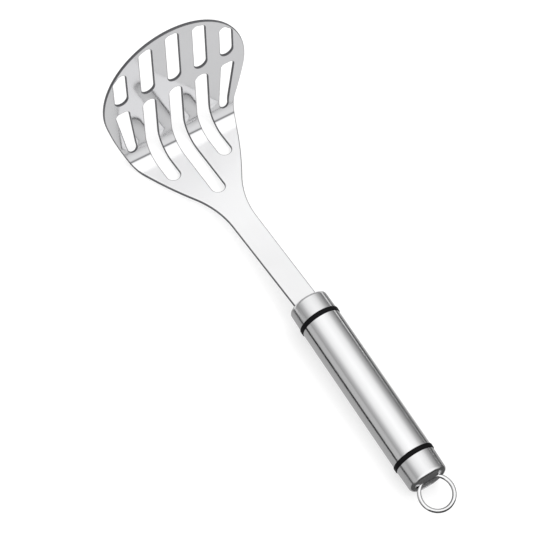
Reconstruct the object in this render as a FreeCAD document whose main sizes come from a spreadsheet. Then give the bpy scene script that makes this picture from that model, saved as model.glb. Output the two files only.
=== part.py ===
"""Potato masher: a slotted sheet blade on a flat shank, in a round hollow handle.

Every size is in millimetres and every angle in degrees. The handle's axis is the X axis of
the working frame, from the end cap at X = 0 towards the blade. At the end all pieces are
turned and lifted together, so that the masher lies on its own table as it is stored.
"""
import FreeCAD, Part
import math
import os

import Sketcher
from FreeCAD import Placement, Rotation, Vector

os.makedirs("parts", exist_ok=True)
doc = FreeCAD.newDocument("PotatoMasher")

# ---------------------------------------------------------------- driving dimensions

SIZES = {
    # handle, stations along its axis
    "handle_length": 130.0,      # end cap's face to the ferrule's face
    "rear_seam": 16.0,           # middle of the rear seal ring
    "front_seam": 116.0,         # middle of the front seal ring
    "handle_radius": 12.5,
    "wall": 0.9,
    "end_taper": 1.1,            # ferrule and cap narrow towards their outer ends
    "ferrule_round": 2.0,
    "cap_round": 2.6,
    # seal rings
    "seal_width": 3.0,
    "seal_radius": 13.0,
    "seal_seat_radius": 10.7,
    "seal_bevel": 0.55,          # slope at each side of the bulge
    # insides of the ferrule and the cap
    "cup_step": 0.5,             # their walls are this much thicker than the tube's
    "cap_floor_inset": 3.1,      # flat inside of the cap's end, in from the handle's radius
    "cap_floor_bevel": 1.9,
    # moulded plugs inside the handle
    "plug_reach": 13.0,          # how far each plug goes into the tube
    "plug_setback": 1.6,         # rear plug's shoulder behind the cap's end wall
    "plug_nose_inset": 3.4,      # flat end of the rear plug, in from the handle's radius
    "plug_nose_bevel": 0.9,
    # hanging ring and its seat
    "wire": 2.5,
    "ring_radius": 10.3,         # middle of the wire, on the round side
    "ring_reach": 8.8,           # ring's centre from its straight side
    "ring_corner": 2.0,
    "ring_droop": 10.0,          # the ring rests this far below the handle's axis
    "seat_depth": 0.75,          # wire's middle inside the cap's face
    "seat_clearance": 0.05,
    "seat_length": 8.4,
    "slot_height": 2.9,
    "slot_width": 18.0,
    # blade sheet
    "sheet": 2.0,
    "bend_radius": 14.3,         # on the concave side
    "shank_pitch": 9.0,          # shank slopes down from the handle's axis
    "shank_length": 133.6,       # ferrule's face to the start of the bend
    "shank_width": 15.6,         # at the ferrule
    "neck_width": 16.7,          # where the shank starts to flare
    "tang_width": 13.0,
    "tang_length": 25.0,
    "tang_clearance": 0.05,
    # blade outline, laid out along the sheet from the middle of the bend
    "head_radius": 49.2,
    "head_centre": 45.8,
    "side_radius": 260.0,
    "side_angle": 12.0,          # where the side leaves the head's circle
    "neck_radius": 60.0,
    # slots, from the middle of the bend along the sheet
    "slot_gap": 18.3,            # from slot to slot
    "slot_size": 8.6,            # width of a slot
    "upper_start": 50.4,
    "upper_arc_radius": 51.6,    # the upper slots end on this circle
    "upper_arc_centre": 39.4,
    "upper_corner": 2.8,
    "lower_end": 43.3,
    "outer_end": 42.6,
    "outer_start": 4.2,
    "outer_corner": 2.7,
    "outer_foot_inner": 7.1,     # corners of the outer slots, from their middle line:
    "outer_foot_outer": 1.3,     # inner is towards the middle of the blade
    "outer_top_inner": 4.1,
    "outer_top_outer": 5.0,
    "centre_slot_reach": 47.3,   # how far the slots run down the flare
    "side_slot_reach": 24.8,
    # cross pins through the tang
    "pin_diameter": 3.0,
    "pin_length": 16.0,
    "pin_front": 8.0,            # behind the ferrule's face
    "pin_spacing": 11.0,
}

sheet = doc.addObject("Spreadsheet::Sheet", "sizes")
for row, (name, value) in enumerate(SIZES.items(), start=1):
    sheet.set("A%d" % row, name)
    sheet.set("B%d" % row, "%g" % value)
    sheet.setAlias("B%d" % row, name)
doc.recompute()


def size(name):
    """The number in a cell of the sheet."""
    return float(sheet.get(name))


# ---------------------------------------------------------------- helpers

def new_body(label):
    body = doc.addObject("PartDesign::Body", label)
    body.Label = label
    return body


def new_sketch(body, name, role, offset=0.0):
    """A sketch on one of the body's own origin planes, moved along that plane's normal."""
    plane = [item for item in body.Origin.OriginFeatures if item.Role == role][0]
    sketch = body.newObject("Sketcher::SketchObject", name)
    sketch.AttachmentSupport = [(plane, "")]
    sketch.MapMode = "FlatFace"
    sketch.AttachmentOffset = Placement(Vector(0, 0, offset), Rotation())
    doc.recompute()
    return sketch


def add_feature(body, kind, name, sketch, **values):
    """A sketch-based feature. A text value is an expression that stays bound."""
    feature = body.newObject("PartDesign::" + kind, name)
    feature.Profile = sketch
    for prop, value in values.items():
        if isinstance(value, str) and "sizes." in value:
            feature.setExpression(prop, value)
        else:
            setattr(feature, prop, value)
    sketch.Visibility = False
    doc.recompute()
    return feature


def bound_outline(sketch, corners):
    """A closed outline of straight lines whose corners are bound to the sheet.

    Each corner is a pair of expressions, its first and second coordinate in the sketch.
    """
    points = [Vector(float(sketch.evalExpression(across)), float(sketch.evalExpression(up)), 0)
              for across, up in corners]
    count = len(points)
    for index in range(count):
        sketch.addGeometry(Part.LineSegment(points[index], points[(index + 1) % count]), False)
    for index in range(count):
        sketch.addConstraint(Sketcher.Constraint(
            "Coincident", index, 2, (index + 1) % count, 1))
    for index, (across, up) in enumerate(corners):
        for axis, expression in (("DistanceX", across), ("DistanceY", up)):
            distance = points[index].x if axis == "DistanceX" else points[index].y
            number = sketch.addConstraint(Sketcher.Constraint(
                axis, -1, 1, index, 1, distance))
            sketch.setExpression("Constraints[%d]" % number, expression)
    doc.recompute()


def rounded_outline(sketch, corners):
    """A closed outline of lines with rounded corners, each (across, up, radius)."""
    edges = []
    count = len(corners)
    for index, (across, up, radius) in enumerate(corners):
        corner = Vector(across, up, 0)
        before = Vector(*corners[index - 1][:2], 0) - corner
        after = Vector(*corners[(index + 1) % count][:2], 0) - corner
        before.normalize()
        after.normalize()
        if radius <= 0:
            edges.append((corner, corner, corner))
            continue
        half = before.getAngle(after) / 2
        inward = (before + after).normalize()
        start = corner + before * (radius / math.tan(half))
        finish = corner + after * (radius / math.tan(half))
        middle = corner + inward * (radius / math.sin(half) - radius)
        edges.append((start, middle, finish))
    for index, (start, middle, finish) in enumerate(edges):
        if start.distanceToPoint(finish) > 1e-6:
            sketch.addGeometry(Part.Arc(start, middle, finish), False)
        following = edges[(index + 1) % count][0]
        if finish.distanceToPoint(following) > 1e-6:
            sketch.addGeometry(Part.LineSegment(finish, following), False)


def path_outline(sketch, steps):
    """A closed outline from (end point) lines and (middle, end point) arcs."""
    start = steps[-1][-1]
    for step in steps:
        finish = step[-1]
        if len(step) == 1:
            sketch.addGeometry(Part.LineSegment(start, finish), False)
        else:
            sketch.addGeometry(Part.Arc(start, step[0], finish), False)
        start = finish


def cut_volume(body, before):
    """Stop if the last cut took nothing away."""
    if body.Shape.Volume >= before - 0.01:
        raise RuntimeError(body.Label + ": a cut removed nothing")
    return body.Shape.Volume


pieces = []


def finished(piece, label):
    piece.Label = label
    pieces.append(piece)
    return piece


# the blade's own frame: X along the shank from the ferrule's face, Z on the concave side
blade_place = Placement(Vector(size("handle_length"), 0, 0),
                        Rotation(Vector(0, 1, 0), size("shank_pitch")))

# ---------------------------------------------------------------- masher blade

half_sheet = size("sheet") / 2
middle_radius = size("bend_radius") + half_sheet
slant = math.sqrt(0.5)                       # sine and cosine of half the right-angle bend
bend_x = size("shank_length") + middle_radius * slant
bend_z = middle_radius - middle_radius * slant
overlap = 1.4                                # outline cuts run this far past the bend's middle
slot_overlap = 1.2                           # and the slot cuts start this far before it
beyond = 12.0                                # waste outlines reach this far past the blade
clear = 30.0                                 # cutting sketches stand this far off the sheet


def blade_profile(sketch):
    """Side view of the sheet: tang, shank, quarter bend and upright plate."""
    inner, outer = size("bend_radius"), size("bend_radius") + size("sheet")
    start, top = size("shank_length"), bend_z + size("head_centre") + size("head_radius") + beyond / 2
    centre = Vector(start, half_sheet + inner, 0)
    back = -size("tang_length")

    def on_bend(radius, turn):
        return centre + Vector(math.sin(turn), -math.cos(turn), 0) * radius

    quarter = math.pi / 2
    path_outline(sketch, [
        (Vector(start, -half_sheet, 0),),
        (on_bend(outer, quarter / 2), on_bend(outer, quarter)),
        (Vector(start + outer, top, 0),),
        (Vector(start + inner, top, 0),),
        (on_bend(inner, quarter),),
        (on_bend(inner, quarter / 2), Vector(start, half_sheet, 0)),
        (Vector(back, half_sheet, 0),),
        (Vector(back, -half_sheet, 0),),
    ])


def side_width(along):
    """Half width of the blade at a distance along the sheet from the middle of the bend."""
    turn = math.radians(size("side_angle"))
    reach = size("side_radius") - size("head_radius")
    centre_across = -reach * math.cos(turn)
    centre_along = size("head_centre") + reach * math.sin(turn)
    return centre_across + math.sqrt(size("side_radius") ** 2 - (along - centre_along) ** 2)


def mirror(points):
    return [Vector(-point.x, point.y, 0) for point in points]


def plate_waste(sketch):
    """Everything outside the upright plate, one loop round the head's outline.

    In this sketch X is across the blade and Y is up the plate.
    """
    turn = math.radians(size("side_angle"))
    radius, centre = size("head_radius"), bend_z + size("head_centre")
    low = bend_z - overlap
    leave = Vector(radius * math.cos(turn), centre - radius * math.sin(turn), 0)
    mid_along = (leave.y - bend_z - overlap) / 2
    middle = Vector(side_width(mid_along), bend_z + mid_along, 0)
    foot = Vector(side_width(-overlap), low, 0)
    crown = Vector(0, centre + radius, 0)
    wide, high = radius + beyond, centre + radius + beyond
    left_leave, left_middle, left_foot = mirror([leave, middle, foot])
    path_outline(sketch, [
        (middle, leave),
        (crown, left_leave),
        (left_middle, left_foot),
        (Vector(-wide, low, 0),),
        (Vector(-wide, high, 0),),
        (Vector(wide, high, 0),),
        (Vector(wide, low, 0),),
        (foot,),
    ])


def flare_waste(sketch, side):
    """Everything beside the shank and flare, on one side. X is along the shank."""
    neck = size("neck_width") / 2
    turn = math.radians(size("side_angle"))
    reach = size("side_radius") - size("head_radius")
    side_centre = Vector(bend_x + size("head_centre") + reach * math.sin(turn),
                         -reach * math.cos(turn), 0)
    between = size("side_radius") + size("neck_radius")
    rise = neck + size("neck_radius") - side_centre.y
    neck_centre = Vector(side_centre.x - math.sqrt(between ** 2 - rise ** 2),
                         neck + size("neck_radius"), 0)
    joint = side_centre + (neck_centre - side_centre) * (size("side_radius") / between)
    foot = Vector(neck_centre.x, neck, 0)
    bisector = ((joint - neck_centre) + (foot - neck_centre)).normalize()
    neck_middle = neck_centre + bisector * size("neck_radius")
    end_x = bend_x + overlap
    middle_x = (joint.x + end_x) / 2
    wide = size("head_radius") + beyond
    back = -size("tang_length") - beyond
    shoulder = 0.6                            # shank narrows to the tang inside the ferrule
    points = [
        (Vector(middle_x, side_width(middle_x - bend_x), 0),
         Vector(end_x, side_width(overlap), 0)),
        (Vector(end_x, wide, 0),),
        (Vector(back, wide, 0),),
        (Vector(back, size("tang_width") / 2, 0),),
        (Vector(-shoulder, size("tang_width") / 2, 0),),
        (Vector(-shoulder, size("shank_width") / 2, 0),),
        (Vector(0, size("shank_width") / 2, 0),),
        (foot,),
        (neck_middle, joint),
    ]
    path_outline(sketch, [tuple(Vector(p.x, side * p.y, 0) for p in step) for step in points])


def plate_slots(sketch):
    """Ten slots seen square to the plate: five above, five below."""
    half = size("slot_size") / 2
    for place in range(-2, 3):
        centre = place * size("slot_gap")
        left, right = centre - half, centre + half
        tops = [bend_z + size("upper_arc_centre")
                + math.sqrt(size("upper_arc_radius") ** 2 - edge ** 2) for edge in (left, right)]
        foot = bend_z + size("upper_start")
        rounding = size("upper_corner")
        rounded_outline(sketch, [(left, foot, half), (right, foot, half),
                                 (right, tops[1], rounding), (left, tops[0], rounding)])
    for place in range(-1, 2):
        centre = place * size("slot_gap")
        top = bend_z + size("lower_end")
        rounded_outline(sketch, [(centre - half, bend_z - overlap, 0),
                                 (centre + half, bend_z - overlap, 0),
                                 (centre + half, top, half), (centre - half, top, half)])
    for side in (-1, 1):
        # the outer pair narrows towards the bend, as the blade's sides do
        centre = 2 * size("slot_gap")
        foot, top = bend_z + size("outer_start"), bend_z + size("outer_end")
        corner = size("outer_corner")
        outline = [(centre - size("outer_foot_inner"), foot, corner),
                   (centre - size("outer_foot_outer"), foot, corner),
                   (centre + size("outer_top_outer"), top, corner),
                   (centre - size("outer_top_inner"), top, corner)]
        rounded_outline(sketch, [(side * across, up, r) for across, up, r in outline])


def flare_slots(sketch):
    """The three middle slots where they run on past the bend into the flare."""
    half = size("slot_size") / 2
    reaches = {-1: "side_slot_reach", 0: "centre_slot_reach", 1: "side_slot_reach"}
    for place, reach in reaches.items():
        centre = place * size("slot_gap")
        start = bend_x - size(reach)
        end = bend_x + overlap
        rounded_outline(sketch, [(start, centre - half, half), (end, centre - half, 0),
                                 (end, centre + half, 0), (start, centre + half, half)])


blade = new_body("masher_blade")
profile = new_sketch(blade, "BladeProfile", "XZ_Plane")
blade_profile(profile)
add_feature(blade, "Pad", "BladeSheet", profile, SideType="Symmetric",
            Length="(sizes.head_radius + 8) * 2")
volume = blade.Shape.Volume

waste = new_sketch(blade, "PlateWaste", "YZ_Plane", bend_x - middle_radius / 2)
plate_waste(waste)
add_feature(blade, "Pocket", "PlateOutline", waste, Reversed=True, Length=clear)
volume = cut_volume(blade, volume)

for side, word in ((1, "Left"), (-1, "Right")):
    waste = new_sketch(blade, "FlareWaste" + word, "XY_Plane", -clear)
    flare_waste(waste, side)
    add_feature(blade, "Pocket", "FlareOutline" + word, waste, Reversed=True,
                Length=clear + bend_z + middle_radius)
    volume = cut_volume(blade, volume)

openings = new_sketch(blade, "PlateSlots", "YZ_Plane", bend_x - slot_overlap)
plate_slots(openings)
add_feature(blade, "Pocket", "PlateSlotCuts", openings, Reversed=True, Length=clear)
volume = cut_volume(blade, volume)

openings = new_sketch(blade, "FlareSlots", "XY_Plane", -clear)
flare_slots(openings)
add_feature(blade, "Pocket", "FlareSlotCuts", openings, Reversed=True,
            Length=clear + bend_z + slot_overlap)
volume = cut_volume(blade, volume)

# two holes through the tang for the cross pins
drilled = new_sketch(blade, "PinHoles", "XY_Plane", -clear)
for number in range(2):
    place = Vector(-size("pin_front") - number * size("pin_spacing"), 0, 0)
    circle = Part.Circle(place, Vector(0, 0, 1), size("pin_diameter") / 2)
    index = drilled.addGeometry(circle, False)
    sized = drilled.addConstraint(Sketcher.Constraint("Diameter", index, size("pin_diameter")))
    drilled.setExpression("Constraints[%d]" % sized, "sizes.pin_diameter")
add_feature(blade, "Pocket", "PinHoleCuts", drilled, Reversed=True, Length=2 * clear)
volume = cut_volume(blade, volume)

blade.Placement = blade_place
finished(blade, "masher_blade")


# ---------------------------------------------------------------- turned and drawn pieces

def turned(body, name, corners):
    """A solid of revolution about the handle's axis from a bound outline."""
    sketch = new_sketch(body, name + "Profile", "XZ_Plane")
    bound_outline(sketch, corners)
    return add_feature(body, "Revolution", name, sketch,
                       ReferenceAxis=(sketch, ["H_Axis"]), Angle=360.0)


def hollowed(body, name, corners):
    """A turned cavity about the handle's axis from a bound outline."""
    before = body.Shape.Volume
    sketch = new_sketch(body, name + "Profile", "XZ_Plane")
    bound_outline(sketch, corners)
    add_feature(body, "Groove", name, sketch,
                ReferenceAxis=(sketch, ["H_Axis"]), Angle=360.0)
    cut_volume(body, before)


def round_rim(body, name, station, radius):
    """Round the circular edge at a station along the axis."""
    sharp = body.Tip
    rims = ["Edge%d" % number for number, edge in enumerate(sharp.Shape.Edges, start=1)
            if abs(edge.BoundBox.XMin - station) < 0.01
            and abs(edge.BoundBox.XMax - station) < 0.01]
    fillet = body.newObject("PartDesign::Fillet", name)
    fillet.Base = (sharp, rims)
    fillet.setExpression("Radius", radius)
    doc.recompute()


REAR_END = "sizes.rear_seam - sizes.seal_width / 2"
REAR_TUBE = "sizes.rear_seam + sizes.seal_width / 2"
FRONT_TUBE = "sizes.front_seam - sizes.seal_width / 2"
FRONT_END = "sizes.front_seam + sizes.seal_width / 2"
BORE = "sizes.handle_radius - sizes.wall"
CUP_BORE = BORE + " - sizes.cup_step"

# handle tube: a plain length of tube between the two seal rings
tube = new_body("handle_tube")
turned(tube, "TubeWall", [
    (REAR_TUBE, BORE), (FRONT_TUBE, BORE),
    (FRONT_TUBE, "sizes.handle_radius"), (REAR_TUBE, "sizes.handle_radius")])
finished(tube, "handle_tube")

# front ferrule: a drawn cup, closed towards the blade
ferrule = new_body("FerruleShell")
NARROW = "sizes.handle_radius - (sizes.handle_length - sizes.front_seam) * tan(sizes.end_taper)"
turned(ferrule, "FerruleCup", [
    (FRONT_END, "0"), ("sizes.handle_length", "0"), ("sizes.handle_length", NARROW),
    (FRONT_END, "sizes.handle_radius")])
round_rim(ferrule, "FerruleRound", size("handle_length"), "sizes.ferrule_round")
hollowed(ferrule, "FerruleHollow", [
    (FRONT_END, "0"), ("sizes.handle_length - 2 * sizes.wall", "0"),
    ("sizes.handle_length - 2 * sizes.wall", CUP_BORE), (FRONT_END, CUP_BORE)])

# end cap: the same kind of cup, closed towards the ring
cap = new_body("CapShell")
NARROW = "sizes.handle_radius - sizes.rear_seam * tan(sizes.end_taper)"
turned(cap, "CapCup", [
    (REAR_END, "0"), ("0", "0"), ("0", NARROW), (REAR_END, "sizes.handle_radius")])
round_rim(cap, "CapRound", 0, "sizes.cap_round")
hollowed(cap, "CapHollow", [
    (REAR_END, "0"), ("sizes.wall", "0"),
    ("sizes.wall", "sizes.handle_radius - sizes.cap_floor_inset"),
    ("sizes.wall + sizes.cap_floor_bevel", CUP_BORE), (REAR_END, CUP_BORE)])


def seal_ring(label, seam):
    """A rubber ring squeezed in a seam, bulging a little past the metal."""
    ring = new_body(label)
    turned(ring, "SealBand", [
        (seam + " - sizes.seal_width / 2", "sizes.seal_seat_radius"),
        (seam + " + sizes.seal_width / 2", "sizes.seal_seat_radius"),
        (seam + " + sizes.seal_width / 2", "sizes.handle_radius"),
        (seam + " + sizes.seal_width / 2 - sizes.seal_bevel", "sizes.seal_radius"),
        (seam + " - sizes.seal_width / 2 + sizes.seal_bevel", "sizes.seal_radius"),
        (seam + " - sizes.seal_width / 2", "sizes.handle_radius")])
    finished(ring, label)


seal_ring("front_seal_ring", "sizes.front_seam")
seal_ring("rear_seal_ring", "sizes.rear_seam")

# front plug: holds the tang, and carries the tube, the seal ring and the ferrule
front_plug = new_body("FrontPlugBlank")
turned(front_plug, "FrontPlugTurning", [
    (FRONT_TUBE + " - sizes.plug_reach", "0"),
    ("sizes.handle_length - 2 * sizes.wall", "0"),
    ("sizes.handle_length - 2 * sizes.wall", CUP_BORE),
    (FRONT_END, CUP_BORE),
    (FRONT_END, "sizes.seal_seat_radius"),
    (FRONT_TUBE, "sizes.seal_seat_radius"),
    (FRONT_TUBE, BORE),
    (FRONT_TUBE + " - sizes.plug_reach", BORE)])

# rear plug: the same for the cap, with a tongue that fills the middle of the cap's slot
rear_plug = new_body("RearPlugBlank")
SHOULDER = "sizes.wall + sizes.plug_setback"
turned(rear_plug, "RearPlugTurning", [
    (SHOULDER, "0"),
    (REAR_TUBE + " + sizes.plug_reach", "0"),
    (REAR_TUBE + " + sizes.plug_reach", BORE),
    (REAR_TUBE, BORE),
    (REAR_TUBE, "sizes.seal_seat_radius"),
    (REAR_END, "sizes.seal_seat_radius"),
    (REAR_END, CUP_BORE),
    (SHOULDER + " + sizes.plug_nose_bevel", CUP_BORE),
    (SHOULDER, "sizes.handle_radius - sizes.plug_nose_inset")])
tongue = new_sketch(rear_plug, "TongueProfile", "XY_Plane",
                    -size("slot_height") / 2 + size("seat_clearance"))
bound_outline(tongue, [
    ("0", "-sizes.seat_length / 2"), (SHOULDER + " + 0.5", "-sizes.seat_length / 2"),
    (SHOULDER + " + 0.5", "sizes.seat_length / 2"), ("0", "sizes.seat_length / 2")])
add_feature(rear_plug, "Pad", "SeatTongue", tongue,
            Length="sizes.slot_height - 2 * sizes.seat_clearance")


# ---------------------------------------------------------------- openings cut by booleans

def block(name, long, wide, high, place):
    """A box centred across and in height on its place, which sits at its rear end."""
    box = doc.addObject("Part::Box", name)
    for prop, value in (("Length", long), ("Width", wide), ("Height", high)):
        if isinstance(value, str):
            box.setExpression(prop, value)
        else:
            setattr(box, prop, value)
    doc.recompute()
    middle = Placement(Vector(0, -box.Width.Value / 2, -box.Height.Value / 2), Rotation())
    box.Placement = place.multiply(middle)
    return box


def rod(name, diameter, length, place):
    """A cylinder centred on its place, along that place's Z axis."""
    cylinder = doc.addObject("Part::Cylinder", name)
    cylinder.setExpression("Radius", "(%s) / 2" % diameter)
    cylinder.setExpression("Height", length)
    doc.recompute()
    middle = Placement(Vector(0, 0, -cylinder.Height.Value / 2), Rotation())
    cylinder.Placement = place.multiply(middle)
    return cylinder


def fused(name, shapes):
    fuse = doc.addObject("Part::MultiFuse", name)
    fuse.Shapes = shapes
    doc.recompute()
    return fuse


def cut(label, base, tool):
    """The named piece: a blank less one tool."""
    result = doc.addObject("Part::Cut", label)
    result.Base = base
    result.Tool = tool
    doc.recompute()
    if result.Shape.Volume > base.Shape.Volume - 0.01:
        raise RuntimeError(label + ": the tool missed the blank")
    return finished(result, label)


def pin_places():
    """The cross pins stand square to the tang."""
    for number in range(2):
        back = -size("pin_front") - number * size("pin_spacing")
        yield blade_place.multiply(Placement(Vector(back, 0, 0), Rotation()))


tang_back = blade_place.multiply(Placement(Vector(-size("tang_length") - 0.5, 0, 0), Rotation()))
tang_space = block("TangSpace", "sizes.tang_length + 3",
                   "sizes.tang_width + 2 * sizes.tang_clearance",
                   "sizes.sheet + 2 * sizes.tang_clearance", tang_back)
shank_start = blade_place.multiply(Placement(Vector(-4, 0, 0), Rotation()))
shank_space = block("ShankSpace", 8.0,
                    "sizes.shank_width + 4 * sizes.tang_clearance",
                    "sizes.sheet + 4 * sizes.tang_clearance", shank_start)
cut("front_ferrule", ferrule, shank_space)

pin_holes = [rod("PinHole%d" % number, "sizes.pin_diameter", "sizes.pin_length + 8", place)
             for number, place in enumerate(pin_places())]
plug_tools = fused("FrontPlugTools", [tang_space] + pin_holes)
cut("front_plug", front_plug, plug_tools)

# the two cross pins are alike and share one node
pins = [rod("CrossPin%d" % number, "sizes.pin_diameter", "sizes.pin_length", place)
        for number, place in enumerate(pin_places())]
pin_group = doc.addObject("Part::Compound", "tang_pins")
pin_group.Links = pins
doc.recompute()
finished(pin_group, "tang_pins")

# cap: a cross slot for the ring, open from one side of the end face to the other
ring_slot = block("RingSlot", 6.0, "sizes.slot_width", "sizes.slot_height",
                  Placement(Vector(-3, 0, 0), Rotation()))
cut("end_cap", cap, ring_slot)

# rear plug: the wire's seat, a round channel that opens towards the ring
across = Rotation(Vector(1, 0, 0), 90)
seat = rod("WireSeat", "sizes.wire + 2 * sizes.seat_clearance", "sizes.seat_length + 6",
           Placement(Vector(size("seat_depth"), 0, 0), across))
cut("rear_plug", rear_plug, seat)


# ---------------------------------------------------------------- hanging ring

def ring_path(sketch):
    """Middle line of the wire: a circle with one straight side through the seat."""
    radius, reach, corner = size("ring_radius"), size("ring_reach"), size("ring_corner")
    centre = Vector(-reach, 0, 0)
    half = math.sqrt((radius - corner) ** 2 - (reach - corner) ** 2)
    ends = []
    for side in (1, -1):
        bend_centre = Vector(-corner, side * half, 0)
        outward = (bend_centre - centre).normalize()
        meet = centre + outward * radius
        straight = Vector(0, side * half, 0)
        halfway = ((straight - bend_centre).normalize() + outward).normalize()
        ends.append((straight, bend_centre + halfway * corner, meet))
    upper, lower = ends
    sketch.addGeometry(Part.LineSegment(lower[0], upper[0]), False)
    sketch.addGeometry(Part.Arc(*upper), False)
    sketch.addGeometry(Part.Arc(upper[2], centre - Vector(radius, 0, 0), lower[2]), False)
    sketch.addGeometry(Part.Arc(lower[2], lower[1], lower[0]), False)


ring = new_body("hanging_ring")
path = new_sketch(ring, "WirePath", "XY_Plane")
ring_path(path)
section = new_sketch(ring, "WireSection", "XZ_Plane")
circle = section.addGeometry(Part.Circle(Vector(0, 0, 0), Vector(0, 0, 1), size("wire") / 2), False)
section.addConstraint(Sketcher.Constraint("Coincident", circle, 3, -1, 1))
sized = section.addConstraint(Sketcher.Constraint("Diameter", circle, size("wire")))
section.setExpression("Constraints[%d]" % sized, "sizes.wire")
wire = ring.newObject("PartDesign::AdditivePipe", "Wire")
wire.Profile = section
wire.Spine = (path, ["Edge%d" % number for number in range(1, 5)])
doc.recompute()
ring.Placement = Placement(Vector(size("seat_depth"), 0, 0),
                           Rotation(Vector(0, 1, 0), -size("ring_droop")))
finished(ring, "hanging_ring")


# ---------------------------------------------------------------- lay the masher on a table

def snug_box(shape):
    """The box that just holds a shape."""
    return shape.optimalBoundingBox(True, False)


def turned_to_rest(angle):
    """All shapes turned about the handle's rear end, front end up by the angle."""
    turn = Placement(Vector(), Rotation(Vector(0, 1, 0), -angle))
    return [piece.Shape.transformed(turn.toMatrix()) for piece in pieces]


def rest_angle():
    """The angle at which the rear seal ring and the outside of the bend both touch down."""
    low, high = 0.0, 6.0
    names = [piece.Label for piece in pieces]
    for _ in range(16):
        angle = (low + high) / 2
        shapes = dict(zip(names, turned_to_rest(angle)))
        blade_low = snug_box(shapes.pop("masher_blade")).ZMin
        if blade_low < min(snug_box(shape).ZMin for shape in shapes.values()):
            low = angle
        else:
            high = angle
    return low


tilt = rest_angle()
shapes = turned_to_rest(tilt)
box = FreeCAD.BoundBox()
for shape in shapes:
    box.add(snug_box(shape))
rest = Placement(Vector(-box.Center.x, -box.Center.y, -box.ZMin),
                 Rotation(Vector(0, 1, 0), -tilt))
for piece in pieces:
    piece.Placement = rest.multiply(piece.Placement)
doc.recompute()

# ---------------------------------------------------------------- checks and export

for item in doc.Objects:
    if "Invalid" in item.State or "Error" in item.State:
        raise RuntimeError("%s failed: %s" % (item.Name, item.State))
for piece in pieces:
    shape = piece.Shape
    if shape.isNull() or not shape.isValid():
        raise RuntimeError(piece.Label + ": its shape is not valid")
    shape.exportStep("parts/" + piece.Label + ".step")
    print("%-16s %9.1f mm3  %d solid(s)" % (piece.Label, shape.Volume, len(shape.Solids)))
hinge = rest.multVec(Vector(size("seat_depth"), 0, 0))
print("rest tilt %.3f, ring hinge at %.4f %.4f %.4f" % (tilt, hinge.x, hinge.y, hinge.z))
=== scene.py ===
import math

import bmesh
import bpy
from mathutils import Matrix, Vector
from mathutils.geometry import delaunay_2d_cdt


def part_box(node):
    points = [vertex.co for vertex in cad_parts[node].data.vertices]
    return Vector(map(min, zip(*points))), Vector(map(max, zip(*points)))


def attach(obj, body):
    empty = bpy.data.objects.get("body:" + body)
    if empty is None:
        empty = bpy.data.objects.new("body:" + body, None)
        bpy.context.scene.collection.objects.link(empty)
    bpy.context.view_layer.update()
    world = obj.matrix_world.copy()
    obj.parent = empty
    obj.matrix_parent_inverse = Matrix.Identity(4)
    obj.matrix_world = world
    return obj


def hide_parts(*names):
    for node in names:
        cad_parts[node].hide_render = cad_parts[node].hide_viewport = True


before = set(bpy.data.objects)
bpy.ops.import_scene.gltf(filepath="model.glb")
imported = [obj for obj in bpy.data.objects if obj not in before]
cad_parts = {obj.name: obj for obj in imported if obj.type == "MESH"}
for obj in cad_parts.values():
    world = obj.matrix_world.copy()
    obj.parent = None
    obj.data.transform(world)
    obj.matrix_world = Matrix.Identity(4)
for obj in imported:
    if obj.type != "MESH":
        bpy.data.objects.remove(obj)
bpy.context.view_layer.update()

MM = 0.001

# ---------------------------------------------------------------- sizes, in millimetres

# handle, stations along its axis from the end cap's face
CAP_END = 14.5
REAR_SEAM = 16.0                   # middles of the two seal rings
FRONT_SEAM = 116.0
TUBE_START = 17.5
TUBE_END = 114.5
FERRULE_START = 117.5
HANDLE_LENGTH = 130.0
HANDLE_RADIUS = 12.5
WALL = 0.9
END_TAPER = math.radians(1.1)
FERRULE_ROUND = 2.0
CAP_ROUND = 2.6
LIP = 0.15                         # small rounding where a turned piece meets its neighbour
SEAL_RADIUS = 13.0
SEAL_SEAT_RADIUS = 10.7
SEAL_HALF_WIDTH = 1.48
SEAL_ROUND = 0.5

# blade
SHANK_PITCH = math.radians(9.0)
SHANK_LENGTH = 133.6
SHANK_WIDTH = 15.6
NECK_WIDTH = 16.7
TANG_LENGTH = 25.0
TANG_WIDTH = 13.0
TANG_SHOULDER = 0.6                # the shank narrows to the tang inside the ferrule
TANG_CLEARANCE = 0.05
SHEET = 2.0
BEND_RADIUS = 15.3                 # to the middle of the sheet
EDGE_ROUND = 0.7                   # polished-over edges of the outline and the slots
HEAD_RADIUS = 49.2
HEAD_CENTRE = 45.8
SIDE_RADIUS = 260.0
SIDE_ANGLE = math.radians(12.0)
NECK_RADIUS = 60.0
SLOT_GAP = 18.3
SLOT_SIZE = 8.6
UPPER_START = 50.4
UPPER_ARC_RADIUS = 51.6
UPPER_ARC_CENTRE = 39.4
UPPER_CORNER = 2.8
LOWER_END = 43.3
OUTER_START = 4.2
OUTER_END = 42.6
OUTER_CORNER = 2.7
OUTER_FOOT = (7.1, 1.3)            # an outer slot's two sides from its middle line, at its
OUTER_TOP = (4.1, 5.0)             # foot and top: first the side nearer the blade's middle
CENTRE_SLOT_REACH = 47.3
SIDE_SLOT_REACH = 24.8

# hanging ring and its slot in the end cap
WIRE = 2.5
RING_RADIUS = 10.3
RING_REACH = 8.8
RING_CORNER = 2.0
RING_DROOP = math.radians(10.0)
SEAT_DEPTH = 0.75
SLOT_WIDTH = 18.0
SLOT_HEIGHT = 2.9

REST_TILT = math.radians(2.090)    # the masher lies on its bend and on the rear seal ring


def handle_place():
    """The handle's own frame: X along its axis from the end cap's face, Z up."""
    low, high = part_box("handle_tube")
    middle_station = (TUBE_START + TUBE_END) / 2 * MM
    return (Matrix.Translation((low + high) / 2) @ Matrix.Rotation(-REST_TILT, 4, "Y")
            @ Matrix.Translation((-middle_station, 0, 0)))


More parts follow.
